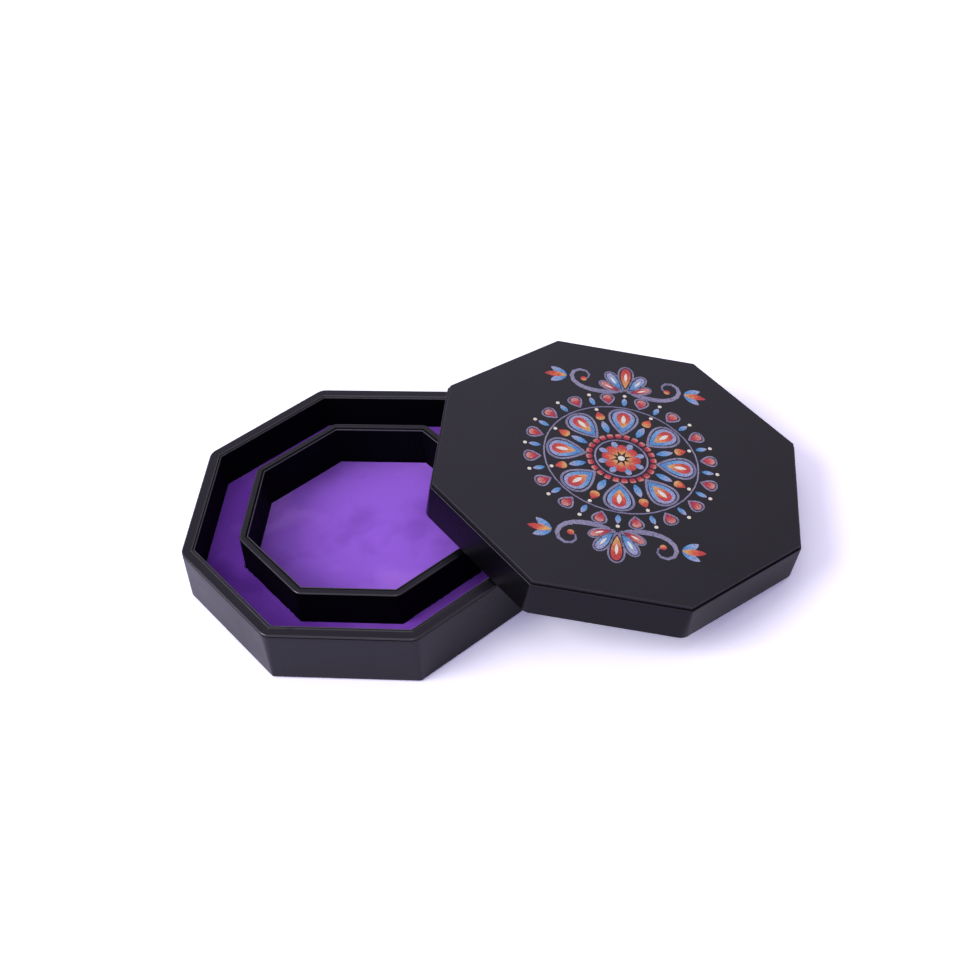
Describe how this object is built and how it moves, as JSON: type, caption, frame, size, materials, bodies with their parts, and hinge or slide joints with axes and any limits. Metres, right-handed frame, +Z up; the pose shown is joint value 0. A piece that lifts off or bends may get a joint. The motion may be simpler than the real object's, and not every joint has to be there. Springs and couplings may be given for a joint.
{
  "type": "dice tray",
  "caption": "Octagonal leatherette dice tray with velvet floors, an inner rolling well inside a staging channel, and a slip-over lid leaning on its rim.",
  "frame": {"origin": "centre of the tray's underside", "axes": "+Z up, +Y from the front of the tray to its back, +X to the right, where the lid leans"},
  "size_m": [0.3597, 0.2402, 0.0693],
  "materials": {
    "tray_leatherette": "satin black leatherette with a fine grain",
    "lid_leatherette": "satin black leatherette with a fine grain",
    "printed_leatherette": "smooth satin black leatherette with a flat printed ornament",
    "velvet": "short-pile purple velvet",
    "underside_sheet": "plain black leatherette sheet",
    "card": "grey card",
    "board": "raw medium-density fibreboard"
  },
  "bodies": {
    "tray": {"tray_bottom_cover": "underside_sheet", "tray_base_board": "board", "tray_wall_wrap": "tray_leatherette", "tray_wall_lining": "tray_leatherette", "tray_wall_board_1": "board", "tray_wall_board_2": "board", "tray_wall_board_3": "board", "tray_wall_board_4": "board", "tray_wall_board_5": "board", "tray_wall_board_6": "board", "tray_wall_board_7": "board", "tray_wall_board_8": "board", "channel_riser": "board", "channel_velvet": "velvet", "ring_wrap": "tray_leatherette", "ring_lining": "tray_leatherette", "ring_board_1": "board", "ring_board_2": "board", "ring_board_3": "board", "ring_board_4": "board", "ring_board_5": "board", "ring_board_6": "board", "ring_board_7": "board", "ring_board_8": "board", "well_pad": "card", "well_velvet": "velvet"},
    "lid": {"lid_skirt_wrap": "lid_leatherette", "lid_side_lining": "lid_leatherette", "lid_ceiling_lining": "lid_leatherette", "lid_skirt_board_1": "board", "lid_skirt_board_2": "board", "lid_skirt_board_3": "board", "lid_skirt_board_4": "board", "lid_skirt_board_5": "board", "lid_skirt_board_6": "board", "lid_skirt_board_7": "board", "lid_skirt_board_8": "board", "lid_deck_board": "board", "lid_panel_board": "board", "lid_panel_cover": "printed_leatherette"}
  },
  "joints": [
    {"name": "lid_lift", "type": "slide", "parent": "tray", "child": "lid", "axis": [0, 0, 1], "range_m": [0, 0.12]}
  ]
}
